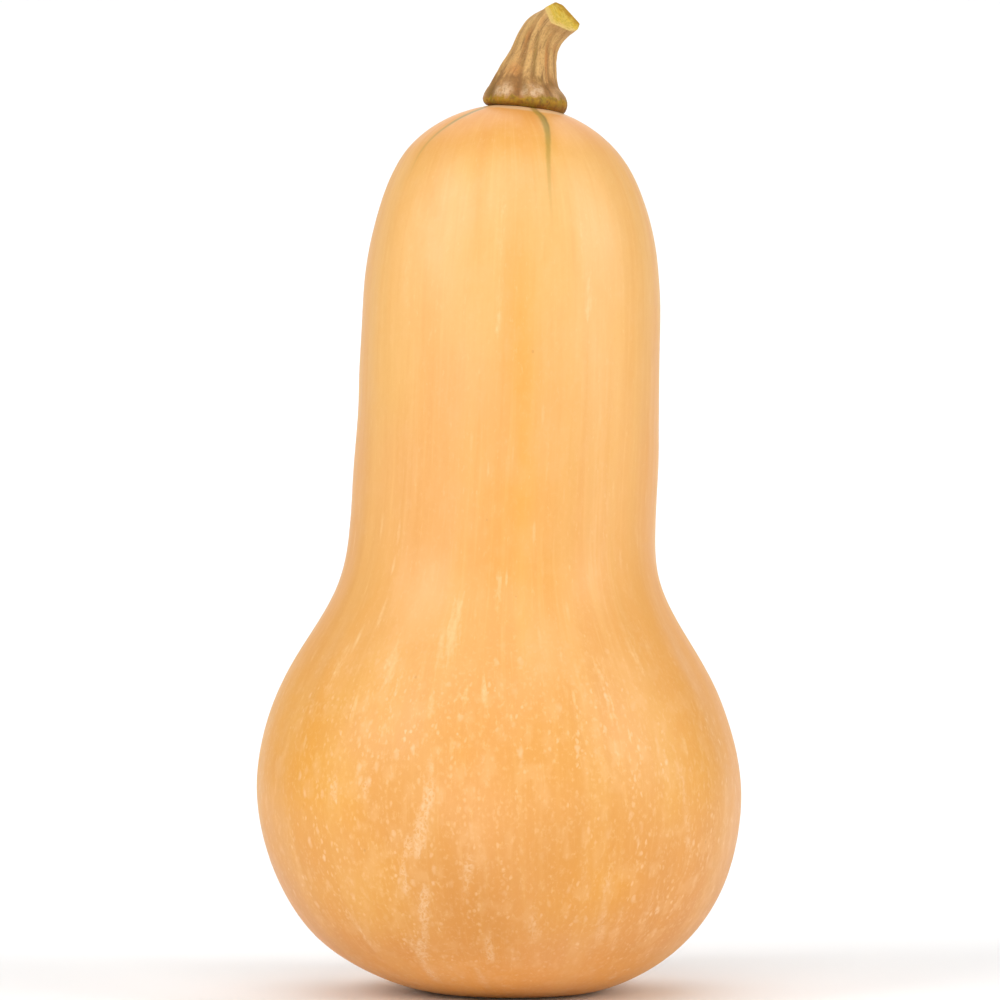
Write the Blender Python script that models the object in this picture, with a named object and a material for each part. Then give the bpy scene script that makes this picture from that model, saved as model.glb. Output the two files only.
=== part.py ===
"""Butternut squash standing upright on its blossom end, with its dry stalk.

Metres, +Z up. The photograph looks along +Y, so +X is its right-hand side.
Two pieces: the fruit, which grew as one body, and the woody stalk on it.
Lengths below are in millimetres and are scaled when the vertices are placed.
"""

import math

import bmesh
import bpy
import numpy as np

MM = 0.001

# ---- the fruit -------------------------------------------------------------
# Outline from the rim of the flat resting ring up to the crown:
# height, half-width, sideways offset of the ring's centre.
OUTLINE = (
    (0.0, 18.5, 3.6),
    (1.4, 25.7, 2.8),
    (5.4, 35.3, 2.0),
    (12.4, 45.3, 1.2),
    (25.4, 54.7, 0.8),
    (38.4, 59.1, 0.3),
    (51.4, 60.4, 0.0),
    (65.4, 58.1, -0.3),
    (75.4, 54.5, -0.4),
    (85.4, 49.1, -0.4),
    (95.4, 43.1, -0.1),
    (105.4, 39.3, 0.3),
    (118.4, 37.9, 1.0),
    (140.4, 37.7, 2.2),
    (163.4, 37.4, 2.9),
    (183.4, 36.2, 3.4),
    (198.4, 32.5, 3.5),
    (210.4, 25.9, 3.1),
    (217.3, 17.0, 2.9),
    (220.5, 8.6, 2.9),
    (221.5, 0.0, 2.9),
)
DEPTH_RATIO = 0.975  # front-to-back size over side-to-side size
FRUIT_SEGMENTS = 56
OUTLINE_RINGS = 40  # rings spread along the outline above the resting ring
# Blossom end, inside the resting ring: radius, height above the ground.
BLOSSOM_END = ((0.0, 0.9), (3.2, 0.8), (4.6, 1.5), (6.4, 1.3), (8.2, 0.0), (12.0, 0.0))
LOBES = 10  # faint swellings that run up the fruit
LOBE_BULB = 0.007  # their height over the radius, on the bulb's shoulder
LOBE_NECK = 0.003  # and on the neck

# ---- the stalk -------------------------------------------------------------
# Line through its middle: X, Y, Z. It leans over to the right and forward.
STALK_LINE = (
    (6.9, 0.0, 220.4),
    (6.6, 0.0, 224.4),
    (7.2, -0.1, 228.6),
    (8.4, -0.4, 232.8),
    (9.8, -0.9, 236.9),
    (12.3, -1.6, 240.7),
    (15.7, -2.4, 243.9),
)
# Distance along that line, radius.
STALK_RADII = (
    (0.0, 10.3),
    (1.3, 10.6),
    (2.8, 10.55),
    (4.6, 9.9),
    (6.6, 8.75),
    (8.8, 7.4),
    (11.0, 6.5),
    (13.5, 5.75),
    (16.5, 5.35),
    (20.0, 5.15),
    (23.0, 5.1),
    (26.0, 5.2),
)
STALK_SEGMENTS = 54
STALK_RINGS = 22  # rings up the side
SEAT_GAP = 0.3  # between the stalk's foot and the crown
LIP = 1.4  # rounding of the foot's lower edge
FOOT_LOBES = 7
FOOT_LOBE_HEIGHT = 0.05  # over the radius
FOOT_LOBE_AT = -75.0  # degrees from +X, of the lobe that faces the viewer
RIDGES = 9
RIDGE_HEIGHT = 0.075
RIDGE_AT = -70.0
CUT_NORMAL = (0.64, -0.42, 0.64)  # the way the cut end faces
CUT_HOLLOW = 0.35  # depth of the shrunken middle of the cut end


def spline(knots, values, at, start=None, end=None):
    """Smooth curve through values at knots, with the slopes given at its ends or none."""
    knots = np.asarray(knots, float)
    values = np.asarray(values, float)
    n = len(knots)
    gap = np.diff(knots)
    rise = np.diff(values) / gap
    a = np.zeros((n, n))
    b = np.zeros(n)
    for i in range(1, n - 1):
        a[i, i - 1] = gap[i]
        a[i, i] = 2 * (gap[i - 1] + gap[i])
        a[i, i + 1] = gap[i - 1]
        b[i] = 3 * (gap[i] * rise[i - 1] + gap[i - 1] * rise[i])
    if start is None:
        a[0, 0], a[0, 1], b[0] = 2, 1, 3 * rise[0]
    else:
        a[0, 0], b[0] = 1, start
    if end is None:
        a[-1, -1], a[-1, -2], b[-1] = 2, 1, 3 * rise[-1]
    else:
        a[-1, -1], b[-1] = 1, end
    slope = np.linalg.solve(a, b)
    at = np.asarray(at, float)
    i = np.clip(np.searchsorted(knots, at, side="right") - 1, 0, n - 2)
    t = (at - knots[i]) / gap[i]
    return (
        values[i] * (1 + 2 * t) * (1 - t) ** 2
        + slope[i] * gap[i] * t * (1 - t) ** 2
        + values[i + 1] * t * t * (3 - 2 * t)
        + slope[i + 1] * gap[i] * t * t * (t - 1)
    )


def smooth(low, high, x):
    t = np.clip((np.asarray(x, float) - low) / (high - low), 0, 1)
    return t * t * (3 - 2 * t)


def outline(at):
    """Height, radius and centre at shares 0 to 1 of the way along the fruit's outline."""
    z, r, c = np.array(OUTLINE).T
    along = np.concatenate(([0], np.cumsum(np.hypot(np.diff(z), np.diff(r)))))
    s = np.asarray(at, float) * along[-1]
    return (
        spline(along, z, s, start=0.06, end=0.0),
        spline(along, r, s, start=1.0, end=-1.0),
        spline(along, c, s),
    )


def fruit_point(angle, radius, height, centre):
    """A place on the fruit's skin, with its faint lobes."""
    bulb = smooth(20, 60, height) * (1 - smooth(95, 125, height))
    neck = smooth(95, 125, height) * (1 - smooth(195, 215, height))
    wave = math.cos(LOBES * angle + 0.9 * math.sin(angle) + 0.4)
    wide = radius * (1 + (LOBE_BULB * bulb + LOBE_NECK * neck) * (wave - 0.4))
    return (
        centre + wide * math.cos(angle),
        DEPTH_RATIO * wide * math.sin(angle),
        height,
    )


def crown_height(x, y):
    """Height of the fruit's crown over a place near its top."""
    z, r, c = outline(np.linspace(0.8, 1.0, 201))
    far = math.hypot(x - float(c[-1]), y / DEPTH_RATIO)
    return float(np.interp(far, r[::-1], z[::-1]))


def ball(segments, rings):
    """A ball with its vertices grouped in rings from the lowest to the highest."""
    bm = bmesh.new()
    bmesh.ops.create_uvsphere(bm, u_segments=segments, v_segments=rings, radius=1.0)
    levels = {}
    for v in bm.verts:
        tilt = math.acos(max(-1.0, min(1.0, -v.co.z)))
        levels.setdefault(round(tilt / math.pi * rings), []).append(v)
    return bm, [levels[k] for k in sorted(levels)]


def finish(bm, name, home, coat):
    for v in bm.verts:
        v.co *= MM
    bmesh.ops.recalc_face_normals(bm, faces=bm.faces)
    mesh = bpy.data.meshes.new(name)
    bm.to_mesh(mesh)
    bm.free()
    mesh.shade_smooth()
    mesh.materials.append(coat)
    ob = bpy.data.objects.new(name, mesh)
    home.objects.link(ob)
    return ob


def material(name, colour, roughness):
    made = bpy.data.materials.new(name)
    made.use_nodes = True
    shader = made.node_tree.nodes["Principled BSDF"]
    shader.inputs["Base Color"].default_value = (*colour, 1.0)
    shader.inputs["Roughness"].default_value = roughness
    shader.inputs["Metallic"].default_value = 0.0
    return made


def fruit(home):
    """The whole fruit: blossom end, resting ring, bulb, neck and crown."""
    z, r, c = outline(np.linspace(0, 1, OUTLINE_RINGS + 1))
    rings = [(rad, high, OUTLINE[0][2]) for rad, high in BLOSSOM_END]
    rings += list(zip(r, z, c))
    bm, levels = ball(FRUIT_SEGMENTS, len(rings) - 1)
    for (rad, high, centre), ring in zip(rings, levels):
        for v in ring:
            angle = math.atan2(v.co.y, v.co.x)
            v.co = fruit_point(angle, float(rad), float(high), float(centre))
    return finish(bm, "fruit", home, material("fruit_skin", (0.93, 0.49, 0.17), 0.42))


def stalk_line(along):
    """Middle of the stalk, the way it runs and its two crosswise directions."""
    p = np.array(STALK_LINE)
    far = np.concatenate(([0], np.cumsum(np.linalg.norm(np.diff(p, axis=0), axis=1))))
    at = np.clip(along, 0, far[-1])
    middle = np.array([float(spline(far, p[:, k], at)) for k in range(3)])
    ahead = np.array([float(spline(far, p[:, k], at + 0.01)) for k in range(3)])
    behind = np.array([float(spline(far, p[:, k], at - 0.01)) for k in range(3)])
    run = (ahead - behind) / np.linalg.norm(ahead - behind)
    across = np.cross((0, 1, 0), run)
    across /= np.linalg.norm(across)
    return middle, run, across, np.cross(run, across), float(far[-1])


def ribs(angle, along):
    """How far ridges and lobes swell the stalk, over its radius."""
    foot = 1 - float(smooth(3.0, 9.0, along))
    lobe = math.cos(FOOT_LOBES * (angle - math.radians(FOOT_LOBE_AT)))
    turn = math.radians(RIDGE_AT + 0.25 * (along - 10))
    ridge = math.cos(RIDGES * (angle - turn) + 0.7 * math.sin(2 * (angle - turn)))
    ridge = 0.5 * (1 + ridge) ** 1.3 - 0.5
    return 1 + foot * FOOT_LOBE_HEIGHT * lobe + (1 - 0.7 * foot) * RIDGE_HEIGHT * ridge


def stalk(home):
    """The stalk: foot spread over the crown, ribbed shaft, slanting cut end."""
    *_, length = stalk_line(0.0)
    under = (0.0, 0.27, 0.54, 0.77)  # rings under the foot, over its radius
    over = (0.8, 0.5, 0.2, 0.0)  # rings on the cut end, over its radius
    sides = np.linspace(0, 1, STALK_RINGS) * length
    bm, levels = ball(STALK_SEGMENTS, len(under) + len(over) + STALK_RINGS - 1)
    radii = np.array(STALK_RADII)
    cut = np.array(CUT_NORMAL) / np.linalg.norm(CUT_NORMAL)

    def side(angle, along):
        middle, run, across, deep, _ = stalk_line(along)
        rad = float(spline(radii[:, 0], radii[:, 1], along)) * ribs(angle, along)
        out = rad * (math.cos(angle) * across + math.sin(angle) * deep)
        slant = -out.dot(cut) / run.dot(cut) * float(smooth(0.55, 1.0, along / length))
        return middle + out + slant * run

    for k, ring in enumerate(levels):
        for v in ring:
            angle = math.atan2(v.co.y, v.co.x)
            if k < len(under):
                rim = side(angle, 0.0)
                x, y = (np.array(STALK_LINE[0])[:2] * (1 - under[k])) + rim[:2] * under[k]
                v.co = (x, y, crown_height(x, y) + SEAT_GAP)
            elif k < len(under) + STALK_RINGS:
                along = float(sides[k - len(under)])
                x, y, z = side(angle, along)
                # The foot's lower edge rests on the crown all round and is rounded in.
                low = max(0.0, 1 - along / 5.0)
                seat = crown_height(x, y) + SEAT_GAP
                z += low * (seat + 0.25 - side(angle, 0.0)[2])
                tuck = LIP * max(0.0, 1 - along / 1.6) ** 2
                x -= tuck * math.cos(angle)
                y -= tuck * math.sin(angle)
                v.co = (x, y, z)
            else:
                middle, *_ = stalk_line(length)
                share = over[k - len(under) - STALK_RINGS]
                place = middle + (side(angle, length) - middle) * share
                v.co = place - cut * CUT_HOLLOW * (1 - share**2)
    return finish(bm, "stem", home, material("stem_wood", (0.56, 0.37, 0.16), 0.7))


def main():
    for ob in list(bpy.data.objects):
        bpy.data.objects.remove(ob, do_unlink=True)
    home = bpy.data.collections.new("butternut_squash")
    bpy.context.scene.collection.children.link(home)
    fruit(home)
    stalk(home)


main()
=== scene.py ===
import math

import bpy
import numpy as np
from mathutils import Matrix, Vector


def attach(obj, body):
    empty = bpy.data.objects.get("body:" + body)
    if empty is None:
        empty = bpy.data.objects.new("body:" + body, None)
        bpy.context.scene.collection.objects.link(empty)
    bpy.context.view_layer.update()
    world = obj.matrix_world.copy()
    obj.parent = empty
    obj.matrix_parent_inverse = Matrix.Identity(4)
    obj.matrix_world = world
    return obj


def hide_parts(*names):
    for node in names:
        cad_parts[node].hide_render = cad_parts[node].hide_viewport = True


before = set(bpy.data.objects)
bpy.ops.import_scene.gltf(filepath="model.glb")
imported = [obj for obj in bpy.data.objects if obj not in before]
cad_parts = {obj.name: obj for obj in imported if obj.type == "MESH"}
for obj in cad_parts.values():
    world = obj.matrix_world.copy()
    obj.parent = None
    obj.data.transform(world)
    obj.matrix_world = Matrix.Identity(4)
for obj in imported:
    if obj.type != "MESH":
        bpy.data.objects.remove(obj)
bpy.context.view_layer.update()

# Lengths are in millimetres here and become metres when a mesh is made.
# The photograph looks along +Y. Angles are in degrees from +X, so -90 faces the viewer.
MM = 0.001
FRUIT_SEGMENTS = 300
FRUIT_RINGS = 290
STALK_SEGMENTS = 360
STALK_RINGS = 190

OUTLINE = (
    (0.0, 18.5, 3.6),
    (1.4, 25.7, 2.8),
    (5.4, 35.3, 2.0),
    (12.4, 45.3, 1.2),
    (25.4, 54.7, 0.8),
    (38.4, 59.1, 0.3),
    (51.4, 60.4, 0.0),
    (65.4, 58.1, -0.3),
    (75.4, 54.5, -0.4),
    (85.4, 49.1, -0.4),
    (95.4, 43.1, -0.1),
    (105.4, 39.3, 0.3),
    (118.4, 37.9, 1.0),
    (140.4, 37.7, 2.2),
    (163.4, 37.4, 2.9),
    (183.4, 36.2, 3.4),
    (198.4, 32.5, 3.5),
    (210.4, 25.9, 3.1),
    (217.3, 17.0, 2.9),
    (220.5, 8.6, 2.9),
    (221.5, 0.0, 2.9),
)
DEPTH_RATIO = 0.975
STALK_LINE = (
    (6.9, 0.0, 220.4),
    (6.6, 0.0, 224.4),
    (7.2, -0.1, 228.6),
    (8.4, -0.4, 232.8),
    (9.8, -0.9, 236.9),
    (12.3, -1.6, 240.7),
    (15.7, -2.4, 243.9),
)
STALK_RADII = (
    (0.0, 9.9),
    (1.2, 10.0),
    (2.8, 9.75),
    (4.6, 9.1),
    (6.6, 8.25),
    (8.8, 7.3),
    (11.0, 6.5),
    (13.5, 5.75),
    (16.5, 5.35),
    (20.0, 5.15),
    (23.0, 5.1),
    (26.0, 5.2),
)
STALK_CENTRE = (6.9, 0.0)
FOOT_RADIUS = 10.6
CUT_NORMAL = (0.60, -0.53, 0.60)
# Ridges up the shaft: angle half-way up, height in mm, half-width in degrees.
RIDGES = (
    (-172, 0.42, 12),
    (-137, 0.30, 14),
    (-100, 0.40, 7),
    (-69, 0.40, 12),
    (-35, 0.34, 10),
    (-2, 0.45, 13),
    (33, 0.30, 11),
    (70, 0.48, 12),
    (107, 0.32, 10),
    (148, 0.45, 13),
)
RIDGE_TWIST = -1.3  # degrees for each mm up
# Lobes round the foot: angle, half-width in degrees, reach in mm, height up the foot.
LOBES = (
    (-176, 25, 0.85, 2.9),
    (-127, 26, 0.85, 2.7),
    (-78, 25, 0.90, 3.1),
    (-29, 25, 1.15, 2.3),
    (22, 27, 0.90, 2.8),
    (77, 28, 1.00, 3.0),
    (130, 26, 0.90, 2.7),
)
# Creases in the foot, from the top down: points by angle and distance up it, then depth in mm.
CREASES = (
    (((-87, 10.4), (-99, 7.9), (-110, 7.0), (-121, 7.0)), 0.13),
    (((-63, 10.0), (-55, 6.8), (-50, 4.4), (-48, 2.4)), 0.28),
    (((-103, 7.2), (-103, 4.6), (-101, 2.8)), 0.12),
    (((-146, 9.0), (-151, 6.0), (-152, 2.6)), 0.20),
    (((-14, 9.4), (-8, 6.0), (-4, 2.8)), 0.24),
    (((38, 10.2), (45, 7.0), (49, 3.0)), 0.26),
    (((92, 10.4), (101, 7.6), (113, 6.9)), 0.22),
    (((104, 7.2), (104, 3.0)), 0.14),
    (((162, 9.6), (157, 6.0), (154, 2.6)), 0.24),
)
# Corners of the cut end as they look from the front: to the right and up from its middle, in mm.
CUT_CORNERS = ((-4.3, 1.2), (-1.6, 3.15), (0.3, 2.5), (4.5, -2.2), (3.9, -4.1), (2.2, -4.6), (-2.7, -2.8))


# ---- shapes ----------------------------------------------------------------
def spline(knots, values, at, start=None, end=None):
    """Smooth curve through values at knots, with the slopes given at its ends or none."""
    knots = np.asarray(knots, float)
    values = np.asarray(values, float)
    n = len(knots)
    gap = np.diff(knots)
    rise = np.diff(values) / gap
    a = np.zeros((n, n))
    b = np.zeros(n)
    for i in range(1, n - 1):
        a[i, i - 1] = gap[i]
        a[i, i] = 2 * (gap[i - 1] + gap[i])
        a[i, i + 1] = gap[i - 1]
        b[i] = 3 * (gap[i] * rise[i - 1] + gap[i - 1] * rise[i])
    if start is None:
        a[0, 0], a[0, 1], b[0] = 2, 1, 3 * rise[0]
    else:
        a[0, 0], b[0] = 1, start
    if end is None:
        a[-1, -1], a[-1, -2], b[-1] = 2, 1, 3 * rise[-1]
    else:
        a[-1, -1], b[-1] = 1, end
    slope = np.linalg.solve(a, b)
    at = np.asarray(at, float)
    i = np.clip(np.searchsorted(knots, at, side="right") - 1, 0, n - 2)
    t = (at - knots[i]) / gap[i]
    return (
        values[i] * (1 + 2 * t) * (1 - t) ** 2
        + slope[i] * gap[i] * t * (1 - t) ** 2
        + values[i + 1] * t * t * (3 - 2 * t)
        + slope[i + 1] * gap[i] * t * t * (t - 1)
    )


def smooth(low, high, x):
    t = np.clip((np.asarray(x, float) - low) / (high - low), 0, 1)
    return t * t * (3 - 2 * t)


def mixed(a, b, c, seed):
    """A repeatable value from 0 to 1 for each whole-number place."""
    h = (a * 374761393 + b * 668265263 + c * 2147483647 + seed * 1274126177) & 0xFFFFFFFF
    h = ((h ^ (h >> 13)) * 1274126177) & 0xFFFFFFFF
    h = ((h ^ (h >> 16)) * 2246822519) & 0xFFFFFFFF
    return ((h ^ (h >> 15)) & 0xFFFFFF) / float(0xFFFFFF)


def lumps(p, seed=0):
    """Smooth noise from -1 to 1 with about one lump to each unit."""
    p = np.asarray(p, float)
    base = np.floor(p)
    f = p - base
    f = f * f * f * (f * (f * 6 - 15) + 10)
    i = base.astype(np.int64)
    total = 0.0
    for dx in (0, 1):
        for dy in (0, 1):
            for dz in (0, 1):
                w = (
                    (f[..., 0] if dx else 1 - f[..., 0])
                    * (f[..., 1] if dy else 1 - f[..., 1])
                    * (f[..., 2] if dz else 1 - f[..., 2])
                )
                total = total + w * mixed(i[..., 0] + dx, i[..., 1] + dy, i[..., 2] + dz, seed)
    return 2 * total - 1


def rough_lumps(p, seed=0, octaves=4):
    total, size, weight = 0.0, 1.0, 1.0
    for k in range(octaves):
        total = total + weight * lumps(np.asarray(p) * size + 17.3 * k, seed + k)
        size *= 2.03
        weight *= 0.5
    return total / (2 - 0.5 ** (octaves - 1))


def turn(a):
    """An angle in radians brought to between -pi and pi."""
    return (a + math.pi) % (2 * math.pi) - math.pi


def outline(at):
    z, r, c = np.array(OUTLINE).T
    along = np.concatenate(([0], np.cumsum(np.hypot(np.diff(z), np.diff(r)))))
    s = np.asarray(at, float) * along[-1]
    return (
        spline(along, z, s, start=0.06, end=0.0),
        spline(along, r, s, start=1.0, end=-1.0),
        spline(along, c, s),
    )


def crown_height(x, y):
    z, r, c = outline(np.linspace(0.8, 1.0, 400))
    far = np.hypot(x - float(c[-1]), y / DEPTH_RATIO)
    return np.interp(far, r[::-1], z[::-1])


def wrapped(name, points, height):
    """A closed skin over rings of points, the first and last ring being one point each. height gives each ring's place up the bake map."""
    rings, n = points.shape[:2]
    middle = points[1:-1].reshape(-1, 3)
    verts = np.vstack((points[0, :1], middle, points[-1, :1])) * MM
    j = np.arange(n)
    nxt = (j + 1) % n
    quads = []
    for i in range(rings - 3):
        a = 1 + i * n
        quads.append(np.stack((a + j, a + nxt, a + n + nxt, a + n + j), 1))
    quads = np.concatenate(quads)
    last = len(verts) - 1
    low = np.stack((np.zeros(n, int), 1 + nxt, 1 + j), 1)
    top = 1 + (rings - 3) * n
    high = np.stack((np.full(n, last), top + j, top + nxt), 1)
    mesh = bpy.data.meshes.new(name)
    mesh.from_pydata(verts.tolist(), [], low.tolist() + quads.tolist() + high.tolist())
    u = 0.003 + 0.994 * np.arange(n + 1) / n
    v = 0.003 + 0.994 * (height - height[0]) / (height[-1] - height[0])
    mid = (u[:-1] + u[1:]) / 2
    maps = [
        np.stack((mid, np.full(n, v[0])), 1),
        np.stack((u[1:], np.full(n, v[1])), 1),
        np.stack((u[:-1], np.full(n, v[1])), 1),
    ]
    uv = [np.stack(maps, 1).reshape(-1, 2)]
    for i in range(rings - 3):
        lo, hi = np.full(n, v[i + 1]), np.full(n, v[i + 2])
        maps = [(u[:-1], lo), (u[1:], lo), (u[1:], hi), (u[:-1], hi)]
        uv.append(np.stack([np.stack(m, 1) for m in maps], 1).reshape(-1, 2))
    maps = [
        np.stack((mid, np.full(n, v[-1])), 1),
        np.stack((u[:-1], np.full(n, v[-2])), 1),
        np.stack((u[1:], np.full(n, v[-2])), 1),
    ]
    uv.append(np.stack(maps, 1).reshape(-1, 2))
    layer = mesh.uv_layers.new(name="OFBake")
    layer.data.foreach_set("uv", np.concatenate(uv).astype(np.float32).ravel())
    mesh.shade_smooth()
    ob = bpy.data.objects.new(name, mesh)
    bpy.context.scene.collection.objects.link(ob)
    return ob


def flat(values):
    """Values for each vertex of a wrapped skin, from values on its rings."""
    return np.concatenate((values[0, :1], values[1:-1].reshape(-1, *values.shape[2:]), values[-1, :1]))


def note(ob, name, values):
    """Keeps a number or a vector on each vertex, for the material to read."""
    values = flat(np.asarray(values, float))
    if values.ndim == 2:
        a = ob.data.attributes.new(name, "FLOAT_VECTOR", "POINT")
        a.data.foreach_set("vector", values.astype(np.float32).ravel())
    else:
        a = ob.data.attributes.new(name, "FLOAT", "POINT")
        a.data.foreach_set("value", values.astype(np.float32))


# ---- the fruit ---------------------------------------------------------------
# Pale netted bands that run up the fruit: angle at the top and the bottom, height of the top
# and the bottom, half-width in mm, strength.
BANDS = (
    (-106, -112, 56, 17, 1.4, 1.3),
    (-112, -119, 18, 6, 1.35, 1.3),
    (-111, -117, 43, 15, 1.2, 1.1),
    (-96, -99, 46, 27, 1.1, 0.8),
    (-93.5, -94.5, 38, 26, 1.0, 0.65),
    (-93.5, -94, 24, 8, 1.1, 0.8),
    (-98.5, -99, 12, 3, 1.0, 0.6),
    (-128, -129, 43, 29, 1.2, 0.75),
    (-131.6, -132, 37, 28, 1.0, 0.55),
    (-134.5, -133, 24, 14, 0.9, 0.65),
    (-122, -122, 68, 52, 1.1, 0.65),
    (-130, -132, 62, 49, 1.0, 0.65),
    (-106, -106, 64, 57, 1.0, 0.55),
    (-93, -93, 64, 52, 1.0, 0.45),
    (-80, -79, 52, 40, 1.0, 0.5),
    (-82, -81, 26, 10, 1.2, 0.5),
    (-71, -69, 44, 26, 1.0, 0.45),
    (-64, -62, 34, 16, 1.4, 0.55),
    (-58, -56, 26, 14, 1.0, 0.45),
    (-62, -54, 12, 3, 1.6, 0.6),
    (-68, -66, 78, 60, 1.0, 0.4),
    (-44, -38, 60, 34, 1.1, 0.45),
    (-50, -46, 30, 14, 1.1, 0.4),
    (-150, -152, 74, 60, 1.2, 0.4),
    (-24, -20, 66, 20, 1.3, 0.5),
    (12, 16, 60, 18, 1.3, 0.85),
    (8, 11, 48, 6, 1.1, 0.8),
    (40, 38, 70, 24, 1.2, 0.6),
    (34, 31, 34, 8, 1.2, 0.6),
    (71, 68, 48, 6, 1.3, 0.95),
    (66, 62, 38, 4, 1.1, 0.8),
    (96, 97, 64, 28, 1.2, 0.55),
    (118, 122, 46, 8, 1.3, 0.85),
    (124, 127, 40, 18, 1.0, 0.7),
    (146, 142, 72, 34, 1.2, 0.55),
    (150, 148, 30, 8, 1.2, 0.6),
    (172, 169, 52, 12, 1.3, 0.75),
)
# Paler brushed patches: angle, height, half-width and half-height in mm, strength.
BRUSHED = (
    (-103.5, 91, 1.5, 9, 1.0),
    (-106.5, 84, 1.0, 5, 0.6),
    (-120.5, 83, 2.0, 6, 0.85),
    (-116.5, 79, 1.0, 4, 0.5),
    (-131, 94, 1.0, 6, 0.6),
    (-119, 96, 0.9, 4, 0.4),
    (-90.3, 101, 0.9, 8, 0.7),
    (-98, 76, 0.9, 3.2, 0.85),
    (-93, 83, 0.8, 3, 0.5),
    (-139, 82, 1.4, 8, 0.6),
    (-142, 70, 1.2, 6, 0.4),
    (-133, 62, 0.9, 4, 0.5),
    (-71.5, 85, 1.0, 3.5, 0.6),
    (-62, 83, 1.2, 5, 0.6),
    (-70, 70, 0.9, 3.0, 0.6),
    (-61, 71, 0.9, 3.5, 0.6),
    (-47, 86, 1.5, 7, 0.6),
    (-121, 29, 1.2, 2.4, 0.6),
    (-117, 68, 1.2, 3.5, 0.5),
    (-94.5, 188, 0.9, 14, 0.55),
    (-95, 168, 0.8, 7, 0.6),
    (-60, 172, 1.1, 6, 0.9),
    (-62, 186, 1.0, 9, 0.5),
    (-134.7, 180, 0.9, 9, 0.6),
    (-133, 170, 0.8, 5, 0.4),
    (-118, 172, 0.8, 7, 0.35),
    (-112, 138, 0.8, 9, 0.3),
    (-45, 150, 0.8, 10, 0.3),
    (-60, 78, 1.4, 8, 0.4),
    (-40, 88, 1.6, 7, 0.5),
    (-110, 120, 0.8, 12, 0.3),
    (20, 92, 2.2, 9, 0.8),
    (52, 84, 2.0, 8, 0.7),
    (88, 96, 2.2, 9, 0.9),
    (122, 88, 1.8, 8, 0.7),
    (160, 84, 2.2, 9, 0.8),
    (30, 176, 1.0, 10, 0.7),
    (76, 170, 1.2, 8, 0.8),
    (110, 184, 0.9, 14, 0.6),
    (150, 176, 1.0, 10, 0.7),
)
# Deeper amber patches, the broad first one being painted shade on the front of the lower neck: angle, height,
# half-width and half-height in mm, strength.
AMBER_AND_SHADE = (
    (-86, 122, 17, 34, 0.5),
    (-86, 160, 3.5, 24, 0.8),
    (-83, 128, 3.0, 24, 0.55),
    (-143, 52, 9, 15, 0.9),
    (-160, 56, 9, 22, 0.9),
    (-67, 33, 9, 13, 0.9),
    (-19, 50, 6, 16, 0.6),
    (-95, 14, 9, 6, 0.4),
    (-127, 46, 5, 6, 0.6),
    (-114, 37, 3, 3.5, 0.7),
    (-81, 92, 3, 3.5, 0.6),
    (-140, 70, 4, 12, 0.5),
    (-99, 62, 3, 4, 0.3),
    (-60, 30, 7, 6, 0.5),
    (-78, 24, 8, 8, 0.5),
    (-48, 48, 4, 4, 0.3),
    (-25, 204, 5, 8, 0.5),
    (-142, 196, 4, 20, 0.4),
    (-30, 92, 5, 10, 0.4),
    (15, 150, 5, 25, 0.6),
    (35, 56, 8, 14, 0.7),
    (75, 130, 4, 25, 0.6),
    (95, 60, 7, 12, 0.8),
    (130, 160, 4, 22, 0.5),
    (150, 50, 8, 13, 0.7),
)
# Paler yellow patches, those on the front of the neck and the bulb's shoulders being painted highlights: angle, height,
# half-width and half-height in mm, strength.
PALE_AND_HIGHLIGHT = (
    (-119, 91, 10, 12, 0.9),
    (-137, 84, 6, 10, 0.5),
    (-100, 88, 6, 9, 0.5),
    (-74, 86, 7, 9, 0.6),
    (-52, 82, 6, 10, 0.5),
    (-45, 72, 6, 10, 0.5),
    (-38, 128, 7, 42, 0.5),
    (-131, 186, 8, 18, 0.9),
    (-98, 188, 5, 12, 0.5),
    (-73, 188, 5, 12, 0.5),
    (-103, 158, 5, 14, 0.4),
    (20, 90, 9, 12, 0.7),
    (64, 92, 9, 11, 0.6),
    (110, 88, 9, 12, 0.8),
    (150, 184, 8, 18, 0.5),
)
# Green lines that run down from the stalk: angle about it, strength, how far they reach in mm.
GREEN = ((-80, 1.0, 44), (-150, 0.95, 34), (-8, 0.22, 18), (62, 0.95, 40), (134, 0.6, 30))


def spots(table, angle, z, around):
    """Adds up soft patches placed by angle and height."""
    total = np.zeros_like(z)
    for a, h, wide, tall, strength in table:
        off = turn(angle - math.radians(a)) * around
        total += strength * np.exp(-((off / wide) ** 2) - ((z - h) / tall) ** 2)
    return total


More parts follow.
